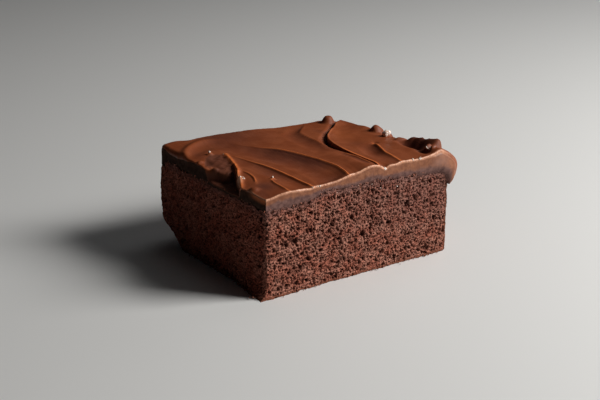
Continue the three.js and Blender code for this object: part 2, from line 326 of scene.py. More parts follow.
# lumps and hollows: x, y, reach in x and y, height
lumps = {
    "farCorner": (1, 70, 7, 3.5, 1.3),
    "valleyBack": (62, 33, 4.5, 8, -0.7),
    "valleyFront": (60, 16, 3.5, 8, -0.7),
    "nick": (52.2, 0, 1.5, 3, -1.5),
    "hook": (68, 26.5, 1.2, 1.4, -0.8),
    "pocket": (76.7, 15, 1.7, 6, -3.4),
    "pocketEnd": (74.7, 5.8, 1.3, 3.2, -1.5),
    "curl": (82.3, 6.5, 3, 3.6, 0.8),
    "lipEnd": (81, 0, 3, 5, 1.9),
    "sideHollow": (79.5, 34, 3, 6, -0.8),
    "sideRise": (78.5, 45, 4, 5.5, 0.6),
    "tornEdge": (0, 24, 4, 8, -1.6),
    "flapCorner": (73.5, 57, 3, 3, 0.5),
}

# small blunt lumps of torn frosting, with steeper sides
nubs = {
    "curledTip": (71.4, 61.6, 2.4, 2.3, 2.8),
    "strokeEnd": (14, 14.8, 0.8, 0.8, 0.8),
    "tornTip": (8.6, 48.4, 0.9, 0.8, 1),
    "tornFlake": (2.6, 35.5, 1.3, 1, 0.8),
    "flakeBehind": (1.5, 44, 1.3, 1, 0.7),
    "tornEnd": (2, 10, 1.6, 1.7, 0.9),
    "far": (78.2, 39.1, 1.8, 2.2, 2.4),
    "middle": (77.6, 31.5, 1.5, 1.5, 1.5),
    "near": (77.9, 24, 1.9, 1.5, 0.9),
    "pocketLump": (76.9, 6.6, 1, 0.9, 1.5),
    "pocketEdge": (77.1, 3.9, 0.9, 0.8, 1.1),
}

# thin wall of torn frosting that stands along the right edge, behind the pocket
tornWall = dict(
    x=curveThrough([[4, 79.5], [8, 79.2], [12, 79], [16, 78.9], [20, 78.9], [25, 78.9]]),
    share=curveThrough([[5.4, 0], [6.8, 1.05], [8, 1.2], [10, 1.15], [13, 1.05], [17, 0.85],
                        [20, 0.68], [22, 0.15], [24, 0]]),
    height=3.8,
    width=0.85,
)

# painted highlights: pale spots where small lumps and the nick catch the light: x, y, reach, share
highlightSpots = [(3, 37.5, 1.3, 0.6), (8.6, 48.4, 0.7, 0.9), (14.2, 14.9, 0.6, 0.8), (52, 0.4, 1.1, 0.9)]
# wider places of painted light and painted shade, a little lighter or darker than the rest: x, y, reach in
# x and y, share; a shade share below nothing takes painted shade away
litPlaces = [(65, 43, 6, 12, 0.11)]
shadePlaces = [
    (62.5, 31, 3, 5, 0.32), (60.5, 49, 2.2, 6, 0.5), (77.2, 15, 2.2, 7, 0.9), (80, 12, 3, 9, 0.6),
    (78, 35, 2.4, 7, 0.25), (74.7, 6.5, 1.3, 3.6, 0.7), (71.6, 61, 2.2, 2.2, 0.25),
    (24.5, 32, 5, 6, 0.25), (15, 20, 3, 4, 0.25), (6.5, 10, 4, 4.5, 0.75), (2, 4, 2.5, 4, 0.5),
    (36.8, 8.6, 4.5, 7, -0.7), (19, 8, 4, 6, -0.25),
]
# a painted highlight on an edge, and places that are rough from tearing, in the same way
highlightEdges = [(80.4, 6.4, 0.7, 1, 0.8)]
roughPlaces = [(79.2, 15, 2.8, 8, 1), (80, 34, 3, 13, 0.7)]

profiles = [curveThrough(list(zip(frosting["heightAt"], frosting[k]))) for k in ("front", "middle", "back")]
taper = curveThrough(frosting["taper"])

# how the colour changes over it: shares from 0 to 1, widths and places in millimetres
tone = {
    "crestAt": (0.28, 0.3),  # painted highlight: thin bright edge on a crest: place beside its line, and width
    "rimAt": (0.2, 0.27),  # painted highlight along the rounded rim of the front cut: place and width
    "leftRim": 0.35,  # weaker along the left cut, where it ends from y to y
    "leftRimAt": (0.2, 0.3),
    "leftRimEnd": (8, 16),
    "lipRim": 0.8,  # how much of it is lost on the lip
    "backDark": 0.75,  # painted shade: the back of the left half is darker, from y to y
    "backDarkFrom": (42, 64),
    "fadedBand": 0.2,  # the tan band of the front cut is thinner at its left end
    "lipSheen": (77, 2.8),  # painted highlight on the lip's front end: place and reach, then how high up
    "sheenHeight": (0.62, 0.25),
    "litSmearEnd": (11, 6),  # frosting smeared over the left cut, painted in the top's lit colour though that face is in shade, as far back as this
}


def strokeShare(stroke, y):
    # strokes fade towards the front cut
    return stroke["share"](y) * mix(frosting["frontShare"], 1, ramp(0.2, 4, y))


def strokeHeight(stroke, x, y):
    away = x - stroke["x"](y)
    steep = frosting["steepWidth"]
    beyond = np.clip((-away - steep) / stroke["left"], 0, 1)
    track = -stroke["step"] * (1 - beyond) ** 2 - stroke["track"] * np.sin(math.pi * beyond**0.8)
    drop = mix(stroke["crest"], -stroke["step"], ramp(0, steep, -away))
    crest = stroke["crest"] * np.maximum(1 - away / stroke["right"], 0) ** 2
    roll = frosting["roll"] * bump(*frosting["rollAt"], away)
    crest = crest + roll * (1 - bump(0, 0.15, away))
    return strokeShare(stroke, y) * np.where(away >= 0, crest, np.where(away > -steep, drop, track))


def hollowShare(stroke, x, y):
    # painted shade in a scooped track: how deep in it, for the colour
    away = stroke["x"](y) - x
    beyond = np.clip(away / stroke["left"], 0, 1)
    return strokeShare(stroke, y) * stroke["shade"] * ramp(0, 0.6, away) * (1 - beyond) ** 0.9


def placeShare(places, x, y):
    # soft spots added up: x, y, reach in x and y, share
    return sum(share * bump(atX, reachX, x) * bump(atY, reachY, y)
               for atX, atY, reachX, reachY, share in places)


def sweepPlace(x, y, fade):
    # how far from the middle of the knife's turn, and how much of it there is
    away = np.hypot(x - sweep["centre"][0], y - sweep["centre"][1])
    return away, ramp(-1, 6, y - sweep["centre"][1]) * ramp(*fade, x)


def sweepHeight(x, y):
    away, share = sweepPlace(x, y, sweep["fade"])
    ridge = sweep["rise"] * bump(sweep["radius"], sweep["width"], away)
    return share * (ridge - sweep["hollow"] * bump(sweep["hollowAt"], sweep["hollowWidth"], away))


def tornShare(x, y):
    # 1 where the frosting is missing on the left, and how far inside the torn rim
    inside = np.minimum(rimRight(y) - x, 0.8 * (rimBack(x) - y))
    return np.where(y > tear["front"], ramp(*tear["slope"], inside), 0), inside


def notchShare(x, y):
    return ramp(*tear["notchSlope"], 0.6 * (notchBack(x) - y))


def alongRim(y):
    # 1 along the right side of the torn rim, which is the side that curls up
    return ramp(*tear["curlFrom"], y) * ramp(*tear["curlTo"], y)


def curlShare(y):
    return alongRim(y) * mix(1, 0.3, ramp(29, 38, y))


def frostingTop(x, y):
    back = y / cake["depth"]
    near = 1 - back
    z = near * (1 - 2 * back) * profiles[0](x) + 4 * near * back * profiles[1](x)
    z = z - back * (1 - 2 * back) * profiles[2](x)
    for stroke in strokes.values():
        z = z + strokeHeight(stroke, x, y)
    z = z + placeShare(lumps.values(), x, y)
    for atX, atY, reachX, reachY, rise in nubs.values():
        z = z + rise * np.exp(-((((x - atX) / reachX) ** 2 + ((y - atY) / reachY) ** 2) ** 2))
    z = z + tornWall["height"] * tornWall["share"](y) * bump(0, tornWall["width"], x - tornWall["x"](y))
    z = z + sweepHeight(x, y)
    curlNoise = 1 + 0.6 * softNoise(x, y, 0 * x, 1.8, 61)
    z = z + tear["curl"] * curlNoise * bump(-0.5, 0.9, rimRight(y) - x) * curlShare(y)
    return z - mix(tornDepth(y), tear["notchDepth"], notchShare(x, y)) * tornShare(x, y)[0]


def fineRelief(x, y):
    # what the knife and the air leave: slow swells, streaks along the strokes, torn places rough
    lean = strokes["third"]["x"](y) - 36
    streaks = softNoise((x - lean) / 1.1, y / frosting["streakLength"], 0 * x, 1, 64)
    torn, inside = tornShare(x, y)
    rough = np.maximum(0.6 * torn * ramp(0, 2, inside), np.minimum(placeShare(roughPlaces, x, y), 1))
    tears = rough * mixedNoise(x, y, 0 * x, frosting["tears"])
    return mixedNoise(x, y, 0 * x, frosting["swells"]) + frosting["streaks"] * streaks + tears


def roundOff(radius, fromEdge):
    # how far a rounded edge lies below the flat, so far from it
    rest = np.maximum(radius - fromEdge, 0)
    return radius - np.sqrt(radius * radius - rest * rest)


def overTheEdge(x, y):
    # where a flat place comes to lie: the last place on top, the way out from there, how far
    # past the top it is, and how long the lip is there
    corner = cake["panCorner"]
    core = corner - cake["shoulder"]
    overX = x - (cake["width"] - corner)
    overY = y - (cake["depth"] - corner)
    inCorner = (overX > 0) & (overY > 0)
    shareX = overX / (core + frosting["sideLip"])
    shareY = overY / (core + frosting["backLip"])
    length = np.hypot(shareX, shareY)
    pull = np.where(inCorner, np.maximum(shareX, shareY) / np.where(length > 0, length, 1), 1)
    overX, overY = overX * pull, overY * pull
    reach = np.where(inCorner, np.hypot(overX, overY), np.maximum(overX, overY))
    past = np.maximum(reach - core, 0)
    sideX = np.where(inCorner, overX, (overX > overY).astype(float))
    sideY = np.where(inCorner, overY, (overX <= overY).astype(float))
    length = np.hypot(sideX, sideY)
    sideX, sideY = sideX / length, sideY / length
    lastX = cake["width"] - corner + overX - past * sideX
    lastY = cake["depth"] - corner + overY - past * sideY
    return lastX, lastY, sideX, sideY, past, mix(frosting["backLip"], frosting["sideLip"], sideX**2)


def frostingPoint(x, y, w):
    # over the crumb it stands straight up; past the shoulder it leans out and over
    shoulder, gap, power = cake["shoulder"], frosting["gap"], frosting["squareness"]
    lastX, lastY, sideX, sideY, past, lip = overTheEdge(x, y)
    lean = past / (shoulder + gap)
    crumb = crumbTop(lastX, lastY)
    spotX, spotY = lastX + past * sideX, lastY + past * sideY
    bare = frostingTop(spotX, spotY) - crumb - gap
    cover = np.maximum(bare * taper(past / lip), frosting["leastCover"]) + fineRelief(spotX, spotY)
    # at the far end of the left cut it stands nearly square
    onTop = (bare + shoulder) / np.maximum(np.cos(lean), 0.2)
    atSide = (shoulder + 0.2) / np.maximum(np.sin(lean), 0.05)
    square = (onTop**-power + atSide**-power) ** (-1 / power)
    cover = mix(cover, square - shoulder, sideY**2 * ramp(*frosting["squareFrom"], x) * ramp(0.3, 1, past))
    # the cut rims: a small bead, then a rounded edge
    onLip = ramp(*frosting["lipFrom"], x)
    rolled = ramp(*frosting["rolledFrom"], y) * ramp(*frosting["rolledTo"], y)
    bead = frosting["bead"] * (0.6 + 0.7 * softNoise(x, y, 0 * x, 2.2, 67))
    cover = cover + bead * bump(*frosting["beadAt"], y) * (1 - onLip)
    cover = cover - roundOff(mix(frosting["edgeRadius"], frosting["lipRadius"], onLip), y)
    cover = cover - roundOff(mix(frosting["edgeRadius"], frosting["cornerRound"], rolled), x)
    out = shoulder + gap + mix(-frosting["sink"], np.maximum(cover, 0.25), w)
    hang = tear["overhang"] * bump(-0.4, 0.7, rimRight(y) - x) * curlShare(y)
    for one in strokes.values():
        hang = hang + one["hang"] * strokeShare(one, y) * bump(0.15, 0.7, x - one["x"](y))
    point = np.stack([
        lastX + sideX * out * np.sin(lean) - hang * w * w,
        lastY + sideY * out * np.sin(lean),
        crumb - shoulder + out * np.cos(lean),
    ], -1)
    # the cut faces: dragged by the knife, leaning in at the bottom
    px, py, pz = point.T
    drag = frosting["drag"] * softNoise(px / 1.1, py / 1.1, pz / 5, 1, 68)
    foot = 1 - ramp(0.03, 0.3, w + 0.07 * softNoise(px, py, 0 * px, 1.5, 70))
    face = drag + 0.16 * softNoise(px, py, pz, 3, 69) + frosting["footLean"] * foot
    swell = frosting["lipSwell"] * ramp(*frosting["lipSwellFrom"], x)
    swell = swell * np.sin(np.pi * np.clip(w, 0, 1)) ** 0.7
    point[:, 1] += (face - swell) * ramp(1.6, 0, y)
    point[:, 0] += face * ramp(1.6, 0, x) + leftInset(y) * ramp(14, 0, x)
    return point


def frostingMasks(x, y, w):
    # what its materials read at each point: painted highlights on thin crests and rims, painted shade in
    # hollows, and torn places
    torn, inside = tornShare(x, y)
    notch, toRim = notchShare(x, y), rimRight(y) - x
    swept, sweptShare = sweepPlace(x, y, sweep["paleFade"])
    sweptRidge = bump(sweep["radius"] - 0.3, sweep["paleWidth"], swept) * sweptShare

    # painted shade: in the sweep's hollow, at the dark places, at the back of the left half and in the
    # tracks
    hollow = sweep["dark"] * bump(sweep["hollowAt"], sweep["hollowWidth"], swept)
    hollow = hollow * ramp(12, 4, x) * ramp(44, 48, y) + placeShare(shadePlaces, x, y)
    backLeft = ramp(*tone["backDarkFrom"], y) * ramp(50, 22, x) * ramp(8, 20, x)
    hollow = hollow + tone["backDark"] * backLeft * (1 - 0.8 * sweptRidge)
    crest = 0
    for one in strokes.values():
        crest = crest + one["edgeShare"](y) * bump(*tone["crestAt"], x - one["x"](y))
        hollow = hollow + hollowShare(one, x, y)
    for atX, atY, reach, share in highlightSpots:
        crest = np.maximum(crest, share * bump(atX, reach, x) * bump(atY, reach, y))
    curl = tear["rimHighlight"] * bump(-0.45, 0.6, toRim) * alongRim(y)
    crest = np.maximum(crest, curl) + sweep["pale"] * sweptRidge + placeShare(litPlaces, x, y)

    rim = bump(*tone["rimAt"], y) * (1 - tone["lipRim"] * ramp(77, 80, x))
    leftRim = bump(*tone["leftRimAt"], x) * (1 - ramp(*tone["leftRimEnd"], y))
    rim = rim + tone["leftRim"] * leftRim + placeShare(highlightEdges, x, y)
    rim = rim + tear["rimGlint"] * bump(-0.2, 0.8, toRim) * bump(*tear["glintAt"], y)
    litSmear = ramp(1, 0.5, x) * ramp(0, 0.5, y) * ramp(*tone["litSmearEnd"], y) * ramp(0.55, 0.98, w)
    return {
        "layer": w - tone["fadedBand"] * ramp(38, 27, x),
        "torn": torn * ramp(-0.2, 0.8, inside) * mix(*tear["dark"], notch),
        "crest": np.clip(crest, 0, 1) * ramp(0.8, 1, w),
        "hollow": np.clip(hollow, 0, 1),
        "rim": np.clip(rim * ramp(0.93, 1, w), 0, 1),
        "gloss": curl,
        "ledge": ramp(2.6, 0.6, x) * ramp(0.5, 0, notch),
        "paintedLight": bump(*tone["lipSheen"], x) * bump(*tone["sheenHeight"], w) + litSmear,
    }


def frostingColumns():
    # flat column places at every row: between guides that follow the rim and the strokes
    second = strokes["second"]["x"]
    leastWidth, toSecond, nextToRim = 1.6, 2.8, 1.2

    def rim(y):
        return np.minimum(np.maximum(rimRight(y), leastWidth), second(y) - toSecond)

    def between(y):
        # along the near stroke, then the arc, then halfway from the torn rim to the second stroke
        way = mix(strokes["near"]["x"](y), strokes["arc"]["x"](y), ramp(12.5, 17, y))
        return np.maximum(mix(way, (rim(y) + second(y)) / 2, ramp(25, 31, y)), rim(y) + nextToRim)

    guides = [
        lambda y: 0 * y,
        rim,
        between,
        second,
        strokes["third"]["x"],
        lambda y: np.minimum(strokes["fold"]["x"](y), 66),
        lambda y: np.minimum(strokes["last"]["x"](y) + 0.08 * y, 71),
        lambda y: 0 * y + cake["width"] - cake["shoulder"],
    ]
    y = np.linspace(0, cake["depth"], 20)
    every, step = frosting["pointEvery"], frosting["coarseStep"]
    return guides, [max(evenCount(np.mean(b(y) - a(y)), every, step), 2 * step)
                    for a, b in zip(guides, guides[1:])]


def evenCount(length, every, step):
    # how many points so far apart, in whole coarse steps
    return step * int(round(length / every / step))


def sheetSkin(columns, rows, layers, step):
    # closed skin of a sheet: fine on top and at its sides, coarse underneath
    top = np.arange((columns + 1) * (rows + 1)).reshape(columns + 1, rows + 1)
    ring = ([(c, 0) for c in range(columns)] + [(columns, r) for r in range(rows)]
            + [(c, rows) for c in range(columns, 0, -1)] + [(0, r) for r in range(rows, 0, -1)])
    ringC, ringR = np.array(ring).T
    spots = [np.stack([np.repeat(np.arange(columns + 1), rows + 1),
                       np.tile(np.arange(rows + 1), columns + 1), np.full(top.size, layers)], -1)]
    loops, start = [], top.size
    for layer in range(layers):
        spots.append(np.stack([ringC, ringR, np.full(len(ring), layer)], -1))
        loops.append(start + np.arange(len(ring)))
        start += len(ring)
    loops.append(top[ringC, ringR])
    faces = np.stack([top[:-1, :-1], top[1:, :-1], top[1:, 1:], top[:-1, 1:]], -1)
    faces = faces.reshape(-1, 4).tolist()
    kinds = [0] * len(faces)
    wallKind = np.where(ringR == 0, 1, np.where(ringC == 0, 2, 0))
    wallKind[columns:columns + rows] = 0
    for low, high in zip(loops, loops[1:]):
        faces += np.stack([low, np.roll(low, -1), np.roll(high, -1), high], -1).tolist()
        kinds += wallKind.tolist()
    inner = [(c, r) for c in range(step, columns, step) for r in range(step, rows, step)]
    spots.append(np.array([(*spot, 0) for spot in inner]))
    bottom = {spot: top.size + i for i, spot in enumerate(ring)}
    bottom.update((spot, start + i) for i, spot in enumerate(inner))
    across = range(step)
    for c in range(0, columns, step):
        for r in range(0, rows, step):
            outline = [(c + i, r) for i in across] + [(c + step, r + i) for i in across]
            outline += [(c + step - i, r + step) for i in across] + [(c, r + step - i) for i in across]
            faces.append([bottom[spot] for spot in reversed(outline) if spot in bottom])
            kinds.append(0)
    return np.concatenate(spots), faces, kinds


def rimSpacing(rows, flat, crowded=8, depth=1.1):
    # even places along a flat length, closer together in the first stretch at the cut
    close = depth * (np.arange(crowded) / crowded) ** 1.5
    return np.concatenate([close, np.linspace(depth, flat, rows - crowded + 1)])


def makeFrosting(materials):
    guides, counts = frostingColumns()
    step, every = frosting["coarseStep"], frosting["pointEvery"]
    flatWidth, flatDepth = cake["width"] - cake["shoulder"], cake["depth"] - cake["shoulder"]
    flatColumns, flatRows = sum(counts), evenCount(flatDepth + 5 * every, every, step)
    lipColumns, lipRows = [evenCount(frosting[lip] * crowding, every, step)
                           for lip, crowding in zip(("sideLip", "backLip"), frosting["lipCrowding"])]
    spots, faces, kinds = sheetSkin(flatColumns + lipColumns, flatRows + lipRows, frosting["layers"], step)
    column, row, layer = spots.T
    y = np.where(row <= flatRows, rimSpacing(flatRows, flatDepth)[np.minimum(row, flatRows)],
                 flatDepth + (row - flatRows) / lipRows * frosting["backLip"])
    x = flatWidth + (column - flatColumns) / lipColumns * frosting["sideLip"]
    start = 0
    for number, (a, b, count) in enumerate(zip(guides, guides[1:], counts)):
        inside = (column >= start) & (column <= start + count)
        along = (column - start) / count
        waver = frosting["crowding"] * np.sin(2 * math.pi * along) / (2 * math.pi)
        along = along - waver if number else along**1.3
        x = np.where(inside, mix(a(y), b(y), np.clip(along, 0, 1)), x)
        start += count
    w = 1 - (1 - layer / frosting["layers"]) ** 1.4
    newPiece("frosting_spread", frostingPoint(x, y, w), faces, materials, "frosting",
             frostingMasks(x, y, w), kinds)


# the sponge under it, with open crumb where it is cut and a baked skin where it met the pan
crumb = {
    "slab": 4.2,  # thickness of the finely made slabs behind the two cuts
    "frontEvery": 0.2,  # spacing of the points on the cuts
    "leftEvery": 0.22,
    "coarseStep": 6,  # the hidden back of a slab has one point for so many in front
    "coreCell": 0.4,  # size of the cells that the rest is worked out in
    "thinning": 0.05,  # how far its flatter places are made with fewer faces
    "unevenness": 0.26,  # of the cuts, and their fine grain
    "grain": 0.13,
    "warp": 0.34,  # how far the pores are pulled out of round
    "tall": 1.2,  # pores are a little taller than wide
    "rimWidth": 0.2,  # from a pore's rim to its full depth
    "holeDepth": 1.6,
    "crust": 1.1,  # baked skin on the pan sides and underneath
    "skin": 0.16,  # its unevenness and its grain
    "skinGrain": 0.1,
    # open pores: spacing, least and most radius, share of the places that hold one, depth
    "pores": [(0.86, 0.27, 0.44, 0.97, 0.8), (1.7, 0.42, 0.72, 0.5, 1.05), (4.3, 0.6, 0.9, 0.25, 1.3)],
    "crustPits": (2.3, 0.3, 0.55, 0.5),
    "raggedTop": 0.7,  # how unevenly the crumb meets the frosting at a cut
    "raggedEnd": 0.55,  # and how uneven the far end of the left cut is
    "soakedFrom": (3.4, 0.2),  # darker just below the frosting
    "sideTint": 0.62,  # and, as a plain gradient, darker towards its top right
}

# the larger holes of the front cut: x, z, radius
holes = [
    (13.7, 19, 1.2), (20, 28.2, 0.8), (14.5, 27.3, 0.9), (37.8, 22.7, 1.2), (42.8, 15.3, 1.3),
    (46.2, 16.5, 0.8), (32.4, 15.7, 1), (62.8, 22.8, 1.2), (61, 19.5, 0.9), (74.5, 20.3, 1),
    (76.2, 14.4, 1.1), (64, 11, 0.9), (48.7, 8.2, 0.9), (51.2, 6.1, 0.8), (21, 8.2, 0.8), (24.5, 9, 0.7),
    (8.7, 11.5, 0.7), (47, 30.7, 0.8),
]


def roundedMeet(a, b, radius):
    # where two sides of a solid meet in a rounded edge, as distances outside each
    outside = np.hypot(np.maximum(a + radius, 0), np.maximum(b + radius, 0))
    return np.minimum(np.maximum(a, b), -radius) + outside


def backEnd(x, z):
    # how far back the cake reaches: it bulges a little, and its left foot is broken away
    bulge = cake["backBulge"] * ramp(12, 1, x) * ramp(3, 12, z) * ramp(34, 28, z)
    broken = cake["brokenFoot"] * np.maximum(1 - z / cake["brokenHeight"], 0) * ramp(14, 0, x)
    return cake["depth"] + bulge - broken


def backFoot(x):
    return cake["backFoot"] * ramp(0, 14, x)


def panDistance(x, y, z):
    # how far outside the baked skin; less than nothing inside
    walls = roundedMeet(x - cake["width"], y - backEnd(x, z), cake["panCorner"])
    foot = mix(cake["rightFoot"], backFoot(x), ramp(0.1, 0.9, y / cake["depth"]))
    return roundedMeet(walls, -z + 0 * x, np.maximum(foot, 0.3))


def crustShare(x, y, z, edge=-0.4):
    return ramp(-crumb["crust"], edge, panDistance(x, y, z))


def flare(along, z):
    # the near corner spreads towards its foot
    rise = np.maximum(1 - z / cake["flareHeight"], 0) ** 2
    return cake["footFlare"] * rise * np.maximum(1 - along / cake["flareReach"], 0)


def leftCut(y, z):
    return leftInset(y) - flare(y, z)


def nearSpots(places, spacing, table, margin):
    # a loose lattice holds one spot in each cell: how far away the nearest ones are, each with
    # the rest of the numbers drawn for it
    spot = [v / spacing + 10 * len(table) for v in places]
    cell = [np.floor(v).astype(np.int32) for v in spot]
    side = [np.where(v - c < 0.5, -1, 1) for v, c in zip(spot, cell)]
    for corner in product((0, 1), repeat=len(places)):
        there = [c + s * n for c, s, n in zip(cell, side, corner)]
        drawn = table[tuple(c % len(table) for c in there)]
        away = sum((c + margin + (1 - 2 * margin) * drawn[..., n] - v) ** 2
                   for n, (c, v) in enumerate(zip(there, spot)))
        yield np.sqrt(away) * spacing, drawn[..., len(places):]


def scatteredPits(a, b, family, seed):
    # depth of the pits over a face
    spacing, least, most, share, depth = family
    table = np.random.default_rng(seed).random((256, 256, 5))
    deepest = np.zeros(a.shape)
    for away, drawn in nearSpots((a, b), spacing, table, 0.2):
        radius = np.where(drawn[..., 0] < share, mix(least, most, drawn[..., 1] ** 1.5), 0)
        pit = ramp(0, crumb["rimWidth"], radius - away) * depth * (0.6 + 0.5 * drawn[..., 2])
        deepest = np.maximum(deepest, pit)
    return deepest


def scatteredHoles(places, family, seed):
    # distance outside the nearest of many round holes
    spacing, least, most, share = family
    table = np.random.default_rng(seed).random((48, 48, 48, 5), np.float32)
    nearest = np.full(places[0].shape, 9, np.float32)
    for away, drawn in nearSpots(places, spacing, table, 0.24):
        radius = np.where(drawn[..., 0] < share, mix(least, most, drawn[..., 1] ** 2), -1)
        nearest = np.minimum(nearest, away - radius)
    return nearest


def cutRelief(along, x, y, z, marks, seed):
    # how far in from a cut its crumb lies: pores, uneven swells and grain
    a = along + crumb["warp"] * layeredNoise(x, y, z, 1.3, seed, 2)
    b = z / crumb["tall"] + crumb["warp"] * layeredNoise(x, y, z, 1.3, seed + 4, 2)
    pits = np.zeros(len(a))
    for number, family in enumerate(crumb["pores"]):
        pits = np.maximum(pits, scatteredPits(a, b, family, seed + 10 + number))
    for at, up, radius in marks:
        inside = 0.9 * radius - np.hypot(a - at, b - up / crumb["tall"])
        pits = np.maximum(pits, crumb["holeDepth"] * ramp(0, 0.5, inside))
    soaked = ramp(2.2, 0.8, crumbTop(x, y) - z)
    pits = pits * (1 - 0.85 * crustShare(x, y, z)) * (1 - 0.4 * soaked)
    swell = crumb["unevenness"] * layeredNoise(x, y, z, 4, 41, 3)
    return pits + swell + crumb["grain"] * layeredNoise(x, y, z, 0.8, 44, 2), pits


def skinRelief(noiseOf):
    # how far the baked skin lies inside the pan's shape
    swell = crumb["skin"] * (1 + noiseOf(3.2, 31, 2))
    return np.maximum(swell + crumb["skinGrain"] * noiseOf(0.9, 33, 1), 0)


def makeSlab(name, length, every, layers, place, material):
    # a closed slab whose cut side is fine; place(u, v, inward) gives points and pore depth
    step = crumb["coarseStep"]
    columns, rows = evenCount(length, every, step), evenCount(cake["crumbHeight"] + 1, every, step)
    spots, faces = sheetSkin(columns, rows, layers, step)[:2]
    column, row, layer = spots.T
    inward = crumb["slab"] * (1 - layer / layers) ** 1.25
    points, pits = place(column / columns, row / rows, inward)
    x, y, z = points.T
    below = crumbTop(x, y) - z
    values = {
        # pore depth, which the material darkens as painted shade
        "depth": np.clip(pits / 0.9, 0, 1),
        "crust": crustShare(x, y, z),
        "soaked": np.maximum(ramp(*crumb["soakedFrom"], below + 0.8 * softNoise(x, y, z, 2, 82)),
                             crumb["sideTint"] * ramp(30, 5, below) * ramp(5, 75, x)),
        # painted shade on the left cut, which faces away from the lamps
        "leftShade": ramp(0.4, 3, y) * ramp(6, 3, x - leftInset(y)),
    }
    newPiece(name, points, faces, [material], "sponge", values)


def slabTop(x, y, fromEdge):
    # the crumb's top at a cut: rounded at the pan side, ragged where it meets the frosting
    ragged = crumb["raggedTop"] * layeredNoise(x, y, 0 * x, 1.8, 83, 2)
    return crumbTop(x, y) + ragged - roundOff(cake["shoulder"], np.maximum(fromEdge, 0))


def frontSlab(u, v, inward):
    width = cake["width"]
    z = v * slabTop(width * u, 0 * u, width * (1 - u))
    end = width - roundOff(cake["rightFoot"], z)
    x = mix(leftCut(inward, z), end, u)
    y = inward - 0.3 * flare(np.maximum(x, 0), z) * (1 - inward / crumb["slab"])
    front, frontPits = cutRelief(x, x, y, z, holes, 100)
    left, leftPits = cutRelief(y + 200, x, y, z, [], 130)
    nearFront = ramp(0.9, 0, inward)
    nearLeft, nearEnd = ramp(1.1, 0, x - leftCut(inward, z)), ramp(1.1, 0, end - x)
    y = y + front * nearFront
    x = x + left * nearLeft - skinRelief(partial(layeredNoise, x, y, z)) * nearEnd
    return np.stack([x, y, z], -1), np.maximum(frontPits * nearFront, leftPits * nearLeft)


def leftSlab(u, v, inward):
    depth, slab = cake["depth"], crumb["slab"]
    far = mix(depth, slab, u)
    z = v * slabTop(0 * u, far, depth - far)
    end = backEnd(inward, z) - roundOff(np.maximum(backFoot(inward), 0.3), z)
    y = mix(end, slab - 0.1, u)
    x = inward + leftCut(y, z) * (1 - inward / slab)
    left, leftPits = cutRelief(y + 200, x, y, z, [], 130)
    nearLeft, nearEnd = ramp(0.9, 0, inward), ramp(1.1, 0, end - y)
    x = x + left * nearLeft
    ragged = crumb["raggedEnd"] * layeredNoise(x, y, z, 1.6, 84, 2)
    y = y - (skinRelief(partial(layeredNoise, x, y, z)) + ragged + 0.5 * leftPits) * nearEnd
    return np.stack([x, y, z], -1), leftPits * nearLeft


def coreSolid(axes):
    # distance outside the crumb behind the slabs, with its baked skin
    x, y, z = np.meshgrid(*axes, indexing="ij", sparse=True)

    def noiseOf(size, seed, layers):
        return sum(gridNoise(axes, size / 2**n, seed + n) / 2**n for n in range(layers))

    pan = np.maximum(panDistance(x, y, z), -z)
    body = roundedMeet(pan + skinRelief(noiseOf), z - crumbTop(x, y), cake["shoulder"])
    where = (pan > -0.9) & (pan < 0.6) & (z > 0.6)
    places = [np.broadcast_to(v, body.shape)[where] + crumb["warp"] * noiseOf(1.2, 50 + n, 1)[where]
              for n, v in enumerate((x, y, z))]
    body[where] = np.maximum(body[where], -scatteredHoles(places, crumb["crustPits"], 90))
    behind = crumb["slab"] - 0.5
    return np.maximum(np.maximum(body, -z), np.maximum(behind - x, behind - y))


def makeCore(material):
    cell = crumb["coreCell"]
    low, high = (2, 2, -1), (cake["width"] + 1.5, cake["depth"] + 2.5, cake["crumbHeight"] + 5)
    axes = [np.arange(a, b, cell, dtype=np.float32) for a, b in zip(low, high)]
    grid = openvdb.FloatGrid(3.0)
    grid.copyFromArray(coreSolid(axes).astype(np.float32))
    points, triangles, quads = grid.convertToPolygons(isovalue=0.0, adaptivity=crumb["thinning"])
    faces = np.concatenate([triangles, quads[:, [0, 1, 2]], quads[:, [0, 2, 3]]])[:, ::-1]
    points = points * cell + np.array(low)
    newPiece("crumb_core", points, faces.tolist(), [material], "sponge",
             {"crust": crustShare(*points.T, -0.5)})


def makeCrumb(material):
    makeSlab("crumb_front", cake["width"], crumb["frontEvery"], 16, frontSlab, material)
    makeSlab("crumb_left", cake["depth"] - crumb["slab"], crumb["leftEvery"], 6, leftSlab, material)
    makeCore(material)


# small crumbs that came loose
loose = {
    "seed": 7,
    "size": (0.16, 0.42),  # least and most radius
    # how many, and as far along as this: at the front cut, then at the left one
    "atFrosting": [(70, 80), (45, 68)],
    "atFoot": [(70, 78), (45, 52)],
    "inTorn": 8,  # how many lie in the torn place, from y to y
    "tornFrom": (16, 36),
    "clingUp": (0.2, 0.7),  # how far above the crumb's top they cling, and how unevenly
    "clingOff": (-0.1, 0.25),  # least and most behind the cut
    "leftDrop": 0.4,  # lower on the left cut
    "spill": 0.35,  # how far they fall from the foot
}
# the shape of each grain: least and most stretch, depth of its dents, share that is crust
grains = {"stretch": (0.65, 1.25), "dent": 0.35, "crusty": 0.3}

